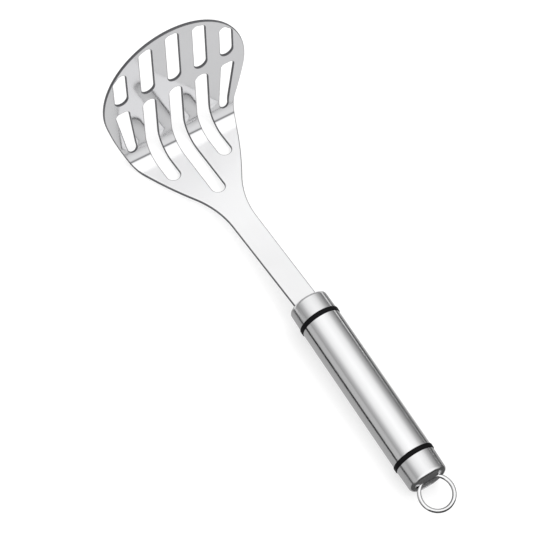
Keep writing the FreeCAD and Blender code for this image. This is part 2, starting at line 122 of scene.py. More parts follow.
HANDLE = handle_place()
SHANK = (HANDLE @ Matrix.Translation((HANDLE_LENGTH * MM, 0, 0))
         @ Matrix.Rotation(SHANK_PITCH, 4, "Y"))
RING = (HANDLE @ Matrix.Translation((SEAT_DEPTH * MM, 0, 0))
        @ Matrix.Rotation(-RING_DROOP, 4, "Y"))


# ---------------------------------------------------------------- materials

class Finish:
    """A material built node by node, on the piece's own Object coordinates."""

    def __init__(self, name):
        self.material = bpy.data.materials.new(name)
        self.material.use_nodes = True
        self.nodes = self.material.node_tree.nodes
        self.links = self.material.node_tree.links
        self.shader = self.nodes["Principled BSDF"]
        self.place = self.nodes.new("ShaderNodeTexCoord").outputs["Object"]

    def set(self, **values):
        for socket, value in values.items():
            self.shader.inputs[socket.replace("_", " ")].default_value = value
        return self

    def stretched(self, scale, turn=(0, 0, 0)):
        """The piece's coordinates turned and scaled, so that a pattern runs one way."""
        mapping = self.nodes.new("ShaderNodeMapping")
        mapping.inputs["Rotation"].default_value = turn
        mapping.inputs["Scale"].default_value = scale
        self.links.new(self.place, mapping.inputs["Vector"])
        return mapping.outputs["Vector"]

    def along_x(self):
        """The piece's own X coordinate, in metres."""
        split = self.nodes.new("ShaderNodeSeparateXYZ")
        self.links.new(self.place, split.inputs[0])
        return split.outputs["X"]

    def noise(self, place, scale, detail=3.0, roughness=0.5):
        node = self.nodes.new("ShaderNodeTexNoise")
        node.inputs["Scale"].default_value = scale
        node.inputs["Detail"].default_value = detail
        node.inputs["Roughness"].default_value = roughness
        self.links.new(place, node.inputs["Vector"])
        return node.outputs["Fac"]

    def ranged(self, value, low, high, to_low, to_high):
        node = self.nodes.new("ShaderNodeMapRange")
        for socket, number in zip(("From Min", "From Max", "To Min", "To Max"),
                                  (low, high, to_low, to_high)):
            node.inputs[socket].default_value = number
        self.links.new(value, node.inputs["Value"])
        return node.outputs["Result"]

    def drawn(self, name):
        """A value that the mesh carries at its vertices."""
        node = self.nodes.new("ShaderNodeAttribute")
        node.attribute_name = name
        return node.outputs["Fac"]

    def mixed(self, value, first, second):
        """A number between two numbers, by a value from 0 to 1."""
        node = self.nodes.new("ShaderNodeMix")
        self.links.new(value, node.inputs["Factor"])
        for socket, number in (("A", first), ("B", second)):
            if isinstance(number, float):
                node.inputs[socket].default_value = number
            else:
                self.links.new(number, node.inputs[socket])
        return node.outputs["Result"]

    def between(self, value, first, second):
        """A colour between two colours, by a value from 0 to 1."""
        node = self.nodes.new("ShaderNodeMix")
        node.data_type = "RGBA"
        self.links.new(value, node.inputs["Factor"])
        for socket, colour in (("A", first), ("B", second)):
            if isinstance(colour, tuple):
                node.inputs[socket].default_value = (*colour, 1)
            else:
                self.links.new(colour, node.inputs[socket])
        return node.outputs["Result"]

    def bump(self, height, strength, distance):
        node = self.nodes.new("ShaderNodeBump")
        node.inputs["Strength"].default_value = strength
        node.inputs["Distance"].default_value = distance
        self.links.new(height, node.inputs["Height"])
        self.links.new(node.outputs["Normal"], self.shader.inputs["Normal"])

    def feed(self, socket, value):
        self.links.new(value, self.shader.inputs[socket])


def sheet_steel():
    """Blade: a satin shank and flare, a plate polished nearly to a mirror, and dull punched edges
    painted near black as shade.

    The mesh carries two values: polish, which climbs with the bend to 1 on the plate, and
    cut_edge, from 0 on a face to 1 on a punched edge. A painted dark line, a painted reflection,
    crosses the bend's middle.
    """
    finish = Finish("satin_and_polished_sheet").set(Specular_IOR_Level=0.2)
    haze = finish.noise(finish.place, 60.0, detail=4.0)
    polish, dull_and_painted_dark_edge = finish.drawn("polish"), finish.drawn("cut_edge")

    satin = finish.ranged(haze, 0.3, 0.7, 0.37, 0.43)
    mirror = finish.ranged(haze, 0.3, 0.7, 0.07, 0.11)
    mirrored = finish.ranged(polish, 0.6, 1.0, 0.0, 1.0)
    finish.feed("Roughness", finish.mixed(dull_and_painted_dark_edge, finish.mixed(mirrored, satin, mirror), 0.42))

    # painted light: the flare's colour rises towards the bend, making up for the shade the plate
    # casts there
    painted_light_towards_bend = finish.ranged(finish.along_x(), 0.03, 0.12, 0.0, 1.0)
    bright = finish.between(painted_light_towards_bend, (0.80, 0.80, 0.805), (0.97, 0.97, 0.975))
    clear = finish.between(haze, (0.455, 0.455, 0.463), (0.485, 0.485, 0.493))
    # painted reflection: a near-black line across the middle of the bend, placed by polish
    painted_reflection_line, reflection_line_start, reflection_line_middle, reflection_line_end = (0.10, 0.10, 0.105), 0.49, 0.525, 0.57
    # painted shade: the colour falls from the flare's to the plate's across the lower bend, so the
    # bend strip renders darker
    below = finish.between(finish.ranged(polish, 0.26, 0.6, 0.0, 1.0), bright, clear)
    above = finish.between(finish.ranged(polish, reflection_line_middle, reflection_line_end, 0.0, 1.0),
                           painted_reflection_line, clear)
    face = finish.between(finish.ranged(polish, reflection_line_start, reflection_line_middle, 0.0, 1.0),
                          below, above)
    # painted shade: the punched edges are coloured near black and non-metallic to draw thin dark
    # outlines; only their higher roughness is real
    finish.feed("Base Color", finish.between(dull_and_painted_dark_edge, face, (0.07, 0.07, 0.075)))
    finish.feed("Metallic", finish.mixed(dull_and_painted_dark_edge, 1.0, 0.0))

    lines = finish.noise(finish.stretched((60, 2200, 2200)), 1.0, detail=2.0)
    finish.bump(lines, 0.03, 0.00002)
    return finish.material


def brushed_steel(name, across, low, high, base):
    """Handle metal: fine brushing along the handle's axis."""
    finish = Finish(name).set(Metallic=1.0)
    along = finish.stretched((9, across, across), turn=(0, REST_TILT, 0))
    grain = finish.noise(along, 1.0, detail=4.0, roughness=0.65)
    cloud = finish.noise(finish.place, 45.0, detail=2.0)
    finish.feed("Roughness", finish.ranged(grain, 0.25, 0.75, low, high))
    dark = tuple(0.95 * part for part in base)
    finish.feed("Base Color", finish.between(cloud, dark, base))
    finish.bump(grain, 0.12, 0.00004)
    return finish.material


def ring_steel():
    """Ring: bright drawn wire."""
    finish = Finish("drawn_wire").set(Metallic=1.0)
    haze = finish.noise(finish.place, 300.0, detail=3.0)
    finish.feed("Roughness", finish.ranged(haze, 0.3, 0.7, 0.07, 0.11))
    finish.feed("Base Color", finish.between(haze, (0.58, 0.58, 0.585), (0.64, 0.64, 0.645)))
    return finish.material


def black_rubber():
    finish = Finish("black_rubber").set(Specular_IOR_Level=0.06)
    grain = finish.noise(finish.place, 2500.0, detail=2.0)
    dust = finish.noise(finish.place, 220.0, detail=4.0)
    finish.feed("Roughness", finish.ranged(dust, 0.3, 0.7, 0.42, 0.56))
    finish.feed("Base Color", finish.between(dust, (0.002, 0.002, 0.0025), (0.006, 0.006, 0.0065)))
    finish.bump(grain, 0.15, 0.00003)
    return finish.material


def moulded_nylon():
    finish = Finish("moulded_nylon").set(Specular_IOR_Level=0.45)
    texture = finish.noise(finish.place, 1800.0, detail=2.0)
    cloud = finish.noise(finish.place, 150.0, detail=3.0)
    finish.feed("Roughness", finish.ranged(cloud, 0.3, 0.7, 0.45, 0.6))
    finish.feed("Base Color", finish.between(cloud, (0.035, 0.035, 0.038), (0.05, 0.05, 0.054)))
    finish.bump(texture, 0.2, 0.00003)
    return finish.material


def turned_pin_steel():
    finish = Finish("turned_pin_steel").set(Metallic=1.0)
    rings = finish.noise(finish.stretched((60, 60, 4000)), 1.0, detail=2.0)
    finish.feed("Roughness", finish.ranged(rings, 0.3, 0.7, 0.25, 0.4))
    finish.feed("Base Color", finish.between(rings, (0.5, 0.5, 0.51), (0.58, 0.58, 0.585)))
    finish.bump(rings, 0.1, 0.00002)
    return finish.material


SHEET_STEEL = sheet_steel()
TUBE_STEEL = brushed_steel("brushed_tube_steel", 1500, 0.13, 0.21, (0.64, 0.64, 0.645))
CUP_STEEL = brushed_steel("brushed_cup_steel", 1300, 0.17, 0.25, (0.60, 0.60, 0.605))
WIRE_STEEL = ring_steel()
RUBBER = black_rubber()
NYLON = moulded_nylon()
PIN_STEEL = turned_pin_steel()


# ---------------------------------------------------------------- mesh helpers

def finished_piece(name, mesh, body, node):
    """Puts a mesh that is already in place into the scene as one piece of the masher."""
    piece = bpy.data.objects.new(name, mesh)
    bpy.context.scene.collection.objects.link(piece)
    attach(piece, body)
    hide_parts(node)


def arc(centre, radius, start, end, count):
    """Points on an arc, its two ends included. Angles in degrees."""
    return [Vector((centre[0] + radius * math.cos(math.radians(start + (end - start) * i / count)),
                    centre[1] + radius * math.sin(math.radians(start + (end - start) * i / count))))
            for i in range(count + 1)]


def straight(start, end, step):
    """Points on a line at about the given step, its last point left out."""
    count = max(1, round((Vector(end) - Vector(start)).length / step))
    return [Vector(start).lerp(Vector(end), i / count) for i in range(count)]


def rounded(corners, step=1.2):
    """A closed loop through corners, each (across, up, radius), with straight sides between."""
    arcs = []
    count = len(corners)
    for index, (across, up, radius) in enumerate(corners):
        corner = Vector((across, up))
        before = (Vector(corners[index - 1][:2]) - corner).normalized()
        after = (Vector(corners[(index + 1) % count][:2]) - corner).normalized()
        if radius <= 0:
            arcs.append([corner])
            continue
        half = before.angle(after) / 2
        centre = corner + (before + after).normalized() * (radius / math.sin(half))
        start = corner + before * (radius / math.tan(half)) - centre
        end = corner + after * (radius / math.tan(half)) - centre
        turn = start.angle_signed(end)
        pieces = max(4, round(abs(math.degrees(turn)) / 9))
        arcs.append([centre + Matrix.Rotation(-turn * i / pieces, 2) @ start
                     for i in range(pieces + 1)])
    loop = []
    for index, bend in enumerate(arcs):
        loop += bend
        following = arcs[(index + 1) % count][0]
        if (following - bend[-1]).length > 1.5 * step:
            loop += straight(bend[-1], following, step)[1:]
    return [p for i, p in enumerate(loop) if (p - loop[i - 1]).length > 1e-4]


def area(loop):
    return sum(a.x * b.y - b.x * a.y for a, b in zip(loop, loop[1:] + loop[:1])) / 2


def outward(loop):
    """For each point of a loop, the direction out of the metal, which lies on the loop's left."""
    directions = []
    for before, here, after in zip(loop[-1:] + loop[:-1], loop, loop[1:] + loop[:1]):
        first = (here - before).normalized()
        second = (after - here).normalized()
        side = Vector((first.y + second.y, -first.x - second.x)).normalized()
        square = max(0.5, side.dot(Vector((first.y, -first.x))))
        directions.append((side, 1 / square))
    return directions


def rounded_sheet(loops, thickness, edge, steps=3):
    """A flat sheet with holes and rounded edges, as a bmesh, with exact normals in 'flat_normal'.

    The first loop is the outline, and the others are holes. The sheet lies on the plane z = 0.
    """
    mesh = bmesh.new()
    facing = mesh.verts.layers.float_vector.new("flat_normal")
    punched = mesh.verts.layers.float.new("cut_edge")
    half = thickness / 2
    turns = [math.pi / 2 * i / steps for i in range(steps + 1)]
    profile = [(edge * (1 - math.sin(t)), half - edge * (1 - math.cos(t)), t) for t in turns]
    profile += [(inset, -height, math.pi - t) for inset, height, t in reversed(profile)]
    tops, bottoms = [], []
    for number, loop in enumerate(loops):
        if (area(loop) > 0) != (number == 0):
            loop = loop[::-1]
        sides = outward(loop)
        rings = []
        for inset, height, turn in profile:
            ring = []
            for point, (side, stretch) in zip(loop, sides):
                at = point - side * inset * stretch
                vertex = mesh.verts.new((at.x, at.y, height))
                flat = side * math.sin(turn)
                vertex[facing] = (flat.x, flat.y, math.cos(turn))
                # this edge mask also carries the blade's painted dark outline
                vertex[punched] = min(1, 3 * math.sin(turn))
                ring.append(vertex)
            rings.append(ring)
        for upper, lower in zip(rings, rings[1:]):
            for i in range(len(loop)):
                mesh.faces.new((upper[i - 1], lower[i - 1], lower[i], upper[i]))
        tops.append(rings[0])
        bottoms.append(rings[-1])
    for rings, flip in ((tops, False), (bottoms, True)):
        corners = [vertex for ring in rings for vertex in ring]
        flat = [Vector(vertex.co.xy) for vertex in corners]
        borders, start = [], 0
        for ring in rings:
            count = len(ring)
            borders += [(start + i, start + (i + 1) % count) for i in range(count)]
            start += count
        _, _, triangles, _, _, _ = delaunay_2d_cdt(flat, borders, [], 0, 1e-7)
        for triangle in triangles:
            middle = sum((flat[i] for i in triangle), Vector((0, 0))) / 3
            if inside(middle, [[v.co.xy for v in ring] for ring in rings]):
                order = triangle[::-1] if flip else triangle
                mesh.faces.new([corners[i] for i in order])
    return mesh


def inside(point, loops):
    """Whether a point is in the metal: an odd number of borders lie to its right."""
    crossings = 0
    for loop in loops:
        for a, b in zip(loop, loop[1:] + loop[:1]):
            if (a.y > point.y) != (b.y > point.y):
                if point.x < a.x + (b.x - a.x) * (point.y - a.y) / (b.y - a.y):
                    crossings += 1
    return crossings % 2 == 1


# ---------------------------------------------------------------- blade

SLANT = math.sqrt(0.5)
HALF_BEND = BEND_RADIUS * math.pi / 4       # from the middle of the bend to its ends
BEND_X = SHANK_LENGTH + BEND_RADIUS * SLANT   # from the ferrule's face to that middle


def along_sheet(reach):
    """A place seen square to the plate or to the flare, as a distance along the sheet."""
    if abs(reach) >= BEND_RADIUS * SLANT:
        return reach + math.copysign(HALF_BEND - BEND_RADIUS * SLANT, reach)
    if reach < 0:
        return BEND_RADIUS * (math.asin(SLANT + reach / BEND_RADIUS) - math.pi / 4)
    return BEND_RADIUS * (math.acos(SLANT - reach / BEND_RADIUS) - math.pi / 4)


def laid_out(loop):
    return [Vector((along_sheet(p.x), p.y)) for p in loop]


def blade_outline():
    """The blade's flat outline: X along the sheet from the middle of the bend, Y across."""
    reach = SIDE_RADIUS - HEAD_RADIUS
    side_centre = Vector((HEAD_CENTRE + reach * math.sin(SIDE_ANGLE),
                          -reach * math.cos(SIDE_ANGLE)))
    neck = NECK_WIDTH / 2
    between = SIDE_RADIUS + NECK_RADIUS
    rise = neck + NECK_RADIUS - side_centre.y
    neck_centre = Vector((side_centre.x - math.sqrt(between ** 2 - rise ** 2),
                          neck + NECK_RADIUS))
    joint_turn = math.degrees(math.atan2(rise, neck_centre.x - side_centre.x))
    leave_turn = 90 + math.degrees(SIDE_ANGLE)
    head = arc((HEAD_CENTRE, 0), HEAD_RADIUS, 0, leave_turn, 90)
    side = arc(side_centre, SIDE_RADIUS, leave_turn, joint_turn, 60)
    bow = arc(neck_centre, NECK_RADIUS, joint_turn - 180, -90, 24)
    shank = straight(bow[-1], (-BEND_X, SHANK_WIDTH / 2), 3.0)[1:]
    tang = [Vector((-BEND_X, SHANK_WIDTH / 2)),
            Vector((-BEND_X - TANG_SHOULDER, SHANK_WIDTH / 2)),
            Vector((-BEND_X - 2 * TANG_SHOULDER, TANG_WIDTH / 2)),
            Vector((-BEND_X - TANG_LENGTH, TANG_WIDTH / 2))]
    half = head + side[1:] + bow[1:] + shank + tang
    mirrored = [Vector((p.x, -p.y)) for p in half[::-1]]
    return laid_out(half + mirrored[:-1])


def blade_slots():
    """Five slots in the upper plate, and five below: three of them run on down the flare."""
    loops = []
    half = SLOT_SIZE / 2
    for place in range(-2, 3):
        low, high = place * SLOT_GAP - half, place * SLOT_GAP + half
        ends = [UPPER_ARC_CENTRE + math.sqrt(UPPER_ARC_RADIUS ** 2 - edge ** 2)
                for edge in (low, high)]
        loops.append(rounded([(UPPER_START, low, half), (ends[0], low, UPPER_CORNER),
                              (ends[1], high, UPPER_CORNER), (UPPER_START, high, half)]))
    for place in (-1, 0, 1):
        start = -(SIDE_SLOT_REACH if place else CENTRE_SLOT_REACH)
        low, high = place * SLOT_GAP - half, place * SLOT_GAP + half
        loops.append(rounded([(start, low, half), (LOWER_END, low, half),
                              (LOWER_END, high, half), (start, high, half)]))
    for side in (-1, 1):
        centre = 2 * SLOT_GAP
        loops.append(rounded([(OUTER_START, side * (centre - OUTER_FOOT[0]), OUTER_CORNER),
                              (OUTER_START, side * (centre - OUTER_FOOT[1]), OUTER_CORNER),
                              (OUTER_END, side * (centre + OUTER_TOP[1]), OUTER_CORNER),
                              (OUTER_END, side * (centre - OUTER_TOP[0]), OUTER_CORNER)]))
    return [laid_out(loop) for loop in loops]


def bend_tree():
    """Bends a flat sheet along X: straight, then a quarter turn, then straight again."""
    tree = bpy.data.node_groups.new("bend_sheet", "GeometryNodeTree")
    tree.interface.new_socket("Geometry", in_out="INPUT", socket_type="NodeSocketGeometry")
    for name, value in (("Bend radius", 0.0153), ("Bend angle", math.pi / 2)):
        tree.interface.new_socket(name, in_out="INPUT",
                                  socket_type="NodeSocketFloat").default_value = value
    tree.interface.new_socket("Steel", in_out="INPUT", socket_type="NodeSocketMaterial")
    tree.interface.new_socket("Geometry", in_out="OUTPUT", socket_type="NodeSocketGeometry")
    nodes, link = tree.nodes, tree.links.new
    given = nodes.new("NodeGroupInput")
    made = nodes.new("NodeGroupOutput")

    def number(operation, first, second=None, third=None):
        node = nodes.new("ShaderNodeMath")
        node.operation = operation
        for socket, value in zip(node.inputs, (first, second, third)):
            if isinstance(value, (int, float)):
                socket.default_value = value
            elif value is not None:
                link(value, socket)
        return node.outputs[0]

    def parts(vector):
        node = nodes.new("ShaderNodeSeparateXYZ")
        link(vector, node.inputs[0])
        return node.outputs

    def whole(across, along, up):
        node = nodes.new("ShaderNodeCombineXYZ")
        for socket, value in zip(node.inputs, (across, along, up)):
            link(value, socket)
        return node.outputs[0]

    radius, angle = given.outputs["Bend radius"], given.outputs["Bend angle"]
    place = parts(nodes.new("GeometryNodeInputPosition").outputs[0])
    half_length = number("MULTIPLY", number("MULTIPLY", radius, angle), 0.5)
    reach = number("ADD", place[0], half_length)
    in_bend = number("MAXIMUM", 0.0, number("MINIMUM", reach, number("MULTIPLY", radius, angle)))
    turn = number("DIVIDE", in_bend, radius)
    beyond = number("SUBTRACT", reach, in_bend)
    sine, cosine = number("SINE", turn), number("COSINE", turn)
    arm = number("SUBTRACT", radius, place[2])
    forward = number("ADD", number("MULTIPLY", arm, sine), number("MULTIPLY", beyond, cosine))
    upward = number("ADD", number("SUBTRACT", radius, number("MULTIPLY", arm, cosine)),
                    number("MULTIPLY", beyond, sine))

    flat = nodes.new("GeometryNodeInputNamedAttribute")
    flat.data_type = "FLOAT_VECTOR"
    flat.inputs["Name"].default_value = "flat_normal"
    facing = parts(flat.outputs["Attribute"])
    bent_x = number("SUBTRACT", number("MULTIPLY", facing[0], cosine),
                    number("MULTIPLY", facing[2], sine))
    bent_z = number("ADD", number("MULTIPLY", facing[0], sine),
                    number("MULTIPLY", facing[2], cosine))
    keep = nodes.new("GeometryNodeStoreNamedAttribute")
    keep.data_type = "FLOAT_VECTOR"
    keep.domain = "POINT"
    keep.inputs["Name"].default_value = "bent_normal"
    link(given.outputs["Geometry"], keep.inputs["Geometry"])
    link(whole(bent_x, facing[1], bent_z), keep.inputs["Value"])
    move = nodes.new("GeometryNodeSetPosition")
    link(keep.outputs["Geometry"], move.inputs["Geometry"])
    link(whole(forward, place[1], upward), move.inputs["Position"])
    realize = nodes.new("GeometryNodeRealizeInstances")
    link(move.outputs["Geometry"], realize.inputs["Geometry"])
    paint = nodes.new("GeometryNodeSetMaterial")
    link(realize.outputs["Geometry"], paint.inputs["Geometry"])
    link(given.outputs["Steel"], paint.inputs["Material"])
    link(paint.outputs["Geometry"], made.inputs["Geometry"])
    return tree


def grown(name, start_mesh, tree, **values):
    """Runs a node tree on a mesh and returns the plain mesh that it makes."""
    carrier = bpy.data.objects.new(name + "_carrier", start_mesh)
    bpy.context.scene.collection.objects.link(carrier)
    modifier = carrier.modifiers.new("grow", "NODES")
    modifier.node_group = tree
    sockets = {item.name: item.identifier for item in tree.interface.items_tree
               if item.in_out == "INPUT"}
    for label, value in values.items():
        modifier[sockets[label.replace("_", " ")]] = value
    evaluated = carrier.evaluated_get(bpy.context.evaluated_depsgraph_get())
    mesh = bpy.data.meshes.new_from_object(evaluated)
    mesh.name = name
    carrier.modifiers.clear()
    bpy.data.objects.remove(carrier)
    return mesh


def blade_mesh():
    sheet = rounded_sheet([blade_outline()] + blade_slots(), SHEET, EDGE_ROUND)
    rows = 26
    for row in range(rows + 1):
        station = -HALF_BEND + 2 * HALF_BEND * row / rows
        bmesh.ops.bisect_plane(sheet, geom=sheet.verts[:] + sheet.edges[:] + sheet.faces[:],
                               plane_co=(station, 0, 0), plane_no=(1, 0, 0), dist=1e-5)
    sheet.transform(Matrix.Scale(MM, 4))
    flat = bpy.data.meshes.new("flat_blade")
    sheet.to_mesh(flat)
    sheet.free()
    mesh = grown("masher_blade_polished", flat, bend_tree(), Bend_radius=BEND_RADIUS * MM,
                 Bend_angle=math.pi / 2, Steel=SHEET_STEEL)
    polish = mesh.attributes.new("polish", "FLOAT", "POINT")
    # the inner face, half a sheet above the middle, starts at 0.24 on the flare
    for vertex, item in zip(mesh.vertices, polish.data):
        climb = min(1, max(0, vertex.co.z / MM / (BEND_RADIUS - SHEET / 2)))
        item.value = math.acos(1 - climb) / (math.pi / 2)
    place = SHANK @ Matrix.Translation((SHANK_LENGTH * MM, 0, 0))
    turn = place.to_3x3()
    normals = [(turn @ Vector(item.vector)).normalized()
               for item in mesh.attributes["bent_normal"].data]
    mesh.transform(place)
    mesh.polygons.foreach_set("use_smooth", [True] * len(mesh.polygons))
    mesh.normals_split_custom_set_from_vertices(normals)
    for name in ("flat_normal", "bent_normal"):
        mesh.attributes.remove(mesh.attributes[name])
    return mesh


finished_piece("masher_blade_polished", blade_mesh(), "masher", "masher_blade")


# ---------------------------------------------------------------- handle pieces

def lathe(profile, closed=True, segments=160):
    """Turns a profile of (station, radius, slope) points about the handle's axis.

    slope is the direction of the surface's normal, in degrees from straight out towards +X.
    """
    mesh = bmesh.new()
    facing = mesh.verts.layers.float_vector.new("normal")
    rings = []
    for station, radius, slope in profile:
        out, ahead = math.cos(math.radians(slope)), math.sin(math.radians(slope))
        ring = []
        for i in range(segments):
            turn = 2 * math.pi * i / segments
            vertex = mesh.verts.new((station, radius * math.cos(turn), radius * math.sin(turn)))
            vertex[facing] = (ahead, out * math.cos(turn), out * math.sin(turn))
            ring.append(vertex)
        rings.append(ring)
    pairs = list(zip(rings, rings[1:]))
    if closed:
        pairs.append((rings[-1], rings[0]))
    for first, second in pairs:
        for i in range(segments):
            mesh.faces.new((first[i - 1], first[i], second[i], second[i - 1]))
    return mesh


def set_down(mesh, name, material, place):
    """Turns a bmesh in millimetres with exact normals into a placed mesh."""
    facing = mesh.verts.layers.float_vector["normal"]
    mesh.verts.ensure_lookup_table()
    turn = place.to_3x3()
    normals = [(turn @ Vector(v[facing])).normalized() for v in mesh.verts]
    mesh.transform(place @ Matrix.Scale(MM, 4))
    data = bpy.data.meshes.new(name)
    mesh.to_mesh(data)
    mesh.free()
    data.attributes.remove(data.attributes["normal"])
    data.materials.append(material)
    data.polygons.foreach_set("use_smooth", [True] * len(data.polygons))
    data.normals_split_custom_set_from_vertices(normals)
    return data


def bend_profile(centre, radius, start, end, count=6):
    """A rounded corner of a profile, seen from outside: its slopes run from start to end."""
    points = []
    for i in range(count + 1):
        slope = start + (end - start) * i / count
        points.append((centre[0] + radius * math.sin(math.radians(slope)),
                       centre[1] + radius * math.cos(math.radians(slope)), slope))
    return points


def tube_mesh():
    inner = HANDLE_RADIUS - WALL
    profile = bend_profile((TUBE_START + LIP, HANDLE_RADIUS - LIP), LIP, -90, 0, 4)
    profile += [(TUBE_START + (TUBE_END - TUBE_START) * i / 12, HANDLE_RADIUS, 0)
                for i in range(1, 12)]
    profile += bend_profile((TUBE_END - LIP, HANDLE_RADIUS - LIP), LIP, 0, 90, 4)
    profile += [(TUBE_END, inner, 90), (TUBE_END, inner, 180), (TUBE_START, inner, 180),
                (TUBE_START, inner, -90)]
    return set_down(lathe(profile), "handle_tube_brushed", TUBE_STEEL, HANDLE)


finished_piece("handle_tube_brushed", tube_mesh(), "masher", "handle_tube")


def seal_mesh(name, middle):
    rear, front, seat = middle - SEAL_HALF_WIDTH, middle + SEAL_HALF_WIDTH, SEAL_SEAT_RADIUS
    shoulder = SEAL_RADIUS - SEAL_ROUND
    profile = bend_profile((rear + SEAL_ROUND, shoulder), SEAL_ROUND, -90, 0, 5)
    profile += bend_profile((front - SEAL_ROUND, shoulder), SEAL_ROUND, 0, 90, 5)
    profile += [(front, seat, 90), (front, seat, 180), (rear, seat, 180), (rear, seat, -90)]
    return set_down(lathe(profile), name, RUBBER, HANDLE)


for node, middle in (("front_seal_ring", FRONT_SEAM), ("rear_seal_ring", REAR_SEAM)):
    finished_piece(node + "_rubber", seal_mesh(node + "_rubber", middle), "masher", node)


def slot_loop(half_width, half_height, corner):
    """A slot's outline in the plane of a cup's face: Y across, Z up."""
    return rounded([(-half_width, -half_height, corner), (half_width, -half_height, corner),
                    (half_width, half_height, corner), (-half_width, half_height, corner)], 1.5)


def slotted_face(mesh, rim, station, ahead, hole, depth, lip=0.18):
    """Closes a cup's end inside a rim of vertices, with a slot whose walls run inwards.

    ahead is +1 for a face that looks along +X, and -1 for one that looks back.
    """
    facing = mesh.verts.layers.float_vector["normal"]
    hole = hole if area(hole) < 0 else hole[::-1]
    sides = outward(hole)
    rings = []
    for inset, sink, turn in [(lip * (1 - math.sin(t)), lip * (1 - math.cos(t)), t)
                              for t in (0, math.pi / 6, math.pi / 3, math.pi / 2)] + \
            [(0, depth, math.pi / 2)]:
        ring = []
        for point, (side, stretch) in zip(hole, sides):
            at = point - side * inset * stretch
            vertex = mesh.verts.new((station - ahead * sink, at.x, at.y))
            flat = side * math.sin(turn)
            vertex[facing] = (ahead * math.cos(turn), flat.x, flat.y)
            ring.append(vertex)
        rings.append(ring)
    for upper, lower in zip(rings, rings[1:]):
        for i in range(len(hole)):
            corners = (upper[i - 1], lower[i - 1], lower[i], upper[i])
            mesh.faces.new(corners if ahead > 0 else corners[::-1])
    corners = rim + rings[0]
    flat = [Vector((v.co.y, v.co.z)) for v in corners]
    count = len(rim)
    edges = [(i, (i + 1) % count) for i in range(count)]
    edges += [(count + i, count + (i + 1) % len(hole)) for i in range(len(hole))]
    _, _, triangles, _, _, _ = delaunay_2d_cdt(flat, edges, [], 0, 1e-7)
    for triangle in triangles:
        middle = sum((flat[i] for i in triangle), Vector((0, 0))) / 3
        if inside(middle, [flat[:count], flat[count:]]):
            mesh.faces.new([corners[i] for i in (triangle if ahead > 0 else triangle[::-1])])


def cup_mesh(name, seam, end, rounding, narrow, hole, depth):
    """A drawn cup: a slightly tapered wall, a rounded end and a slotted face."""
    ahead = 1 if end > seam else -1
    taper = math.degrees(math.atan((HANDLE_RADIUS - narrow) / abs(end - seam)))
    wall = bend_profile((seam + ahead * LIP, HANDLE_RADIUS - LIP), LIP, -90 * ahead,
                        taper * ahead, 4)
    tangent = math.radians(taper)
    centre_radius = narrow + rounding * math.tan(tangent) - rounding / math.cos(tangent)
    wall += bend_profile((end - ahead * rounding, centre_radius), rounding, taper * ahead,
                         90 * ahead, 12)
    inner = HANDLE_RADIUS - WALL
    wall = [(seam, inner, -90 * ahead)] + wall
    mesh = lathe(wall, closed=False)
    rim = sorted((v for v in mesh.verts if abs(v.co.x - end) < 1e-6),
                 key=lambda v: math.atan2(v.co.z, v.co.y))
    slotted_face(mesh, rim, end, ahead, hole, depth)
    bmesh.ops.recalc_face_normals(mesh, faces=mesh.faces[:])
    return set_down(mesh, name, CUP_STEEL, HANDLE)


shank_slot = slot_loop(SHANK_WIDTH / 2 + TANG_CLEARANCE,
                       (SHEET / 2 + TANG_CLEARANCE) / math.cos(SHANK_PITCH), 0.3)
ring_slot = slot_loop(SLOT_WIDTH / 2, SLOT_HEIGHT / 2, 0.5)
finished_piece("front_ferrule_drawn",
               cup_mesh("front_ferrule_drawn", FERRULE_START, HANDLE_LENGTH, FERRULE_ROUND,
                        HANDLE_RADIUS - (HANDLE_LENGTH - FRONT_SEAM) * math.tan(END_TAPER),
                        shank_slot, 2 * WALL),
               "masher", "front_ferrule")
finished_piece("end_cap_drawn",
               cup_mesh("end_cap_drawn", CAP_END, 0.0, CAP_ROUND,
                        HANDLE_RADIUS - REAR_SEAM * math.tan(END_TAPER), ring_slot, WALL),
               "masher", "end_cap")


# ---------------------------------------------------------------- hanging ring

def wire_tree():
    """A round wire along a closed path."""
    tree = bpy.data.node_groups.new("wire_along_path", "GeometryNodeTree")
    tree.interface.new_socket("Geometry", in_out="INPUT", socket_type="NodeSocketGeometry")
    tree.interface.new_socket("Wire radius", in_out="INPUT",
                              socket_type="NodeSocketFloat").default_value = 0.00125
    tree.interface.new_socket("Steel", in_out="INPUT", socket_type="NodeSocketMaterial")
    tree.interface.new_socket("Geometry", in_out="OUTPUT", socket_type="NodeSocketGeometry")
    nodes, link = tree.nodes, tree.links.new
    given = nodes.new("NodeGroupInput")
    path = nodes.new("GeometryNodeMeshToCurve")
    circle = nodes.new("GeometryNodeCurvePrimitiveCircle")
    circle.inputs["Resolution"].default_value = 32
    sweep = nodes.new("GeometryNodeCurveToMesh")
    smooth = nodes.new("GeometryNodeSetShadeSmooth")
    realize = nodes.new("GeometryNodeRealizeInstances")
    paint = nodes.new("GeometryNodeSetMaterial")
    made = nodes.new("NodeGroupOutput")
    link(given.outputs["Geometry"], path.inputs["Mesh"])
    link(given.outputs["Wire radius"], circle.inputs["Radius"])
    link(path.outputs["Curve"], sweep.inputs["Curve"])
    link(circle.outputs["Curve"], sweep.inputs["Profile Curve"])
    link(sweep.outputs["Mesh"], smooth.inputs["Geometry"])
    link(smooth.outputs["Geometry"], realize.inputs["Geometry"])
    link(realize.outputs["Geometry"], paint.inputs["Geometry"])
    link(given.outputs["Steel"], paint.inputs["Material"])
    link(paint.outputs["Geometry"], made.inputs["Geometry"])
    return tree


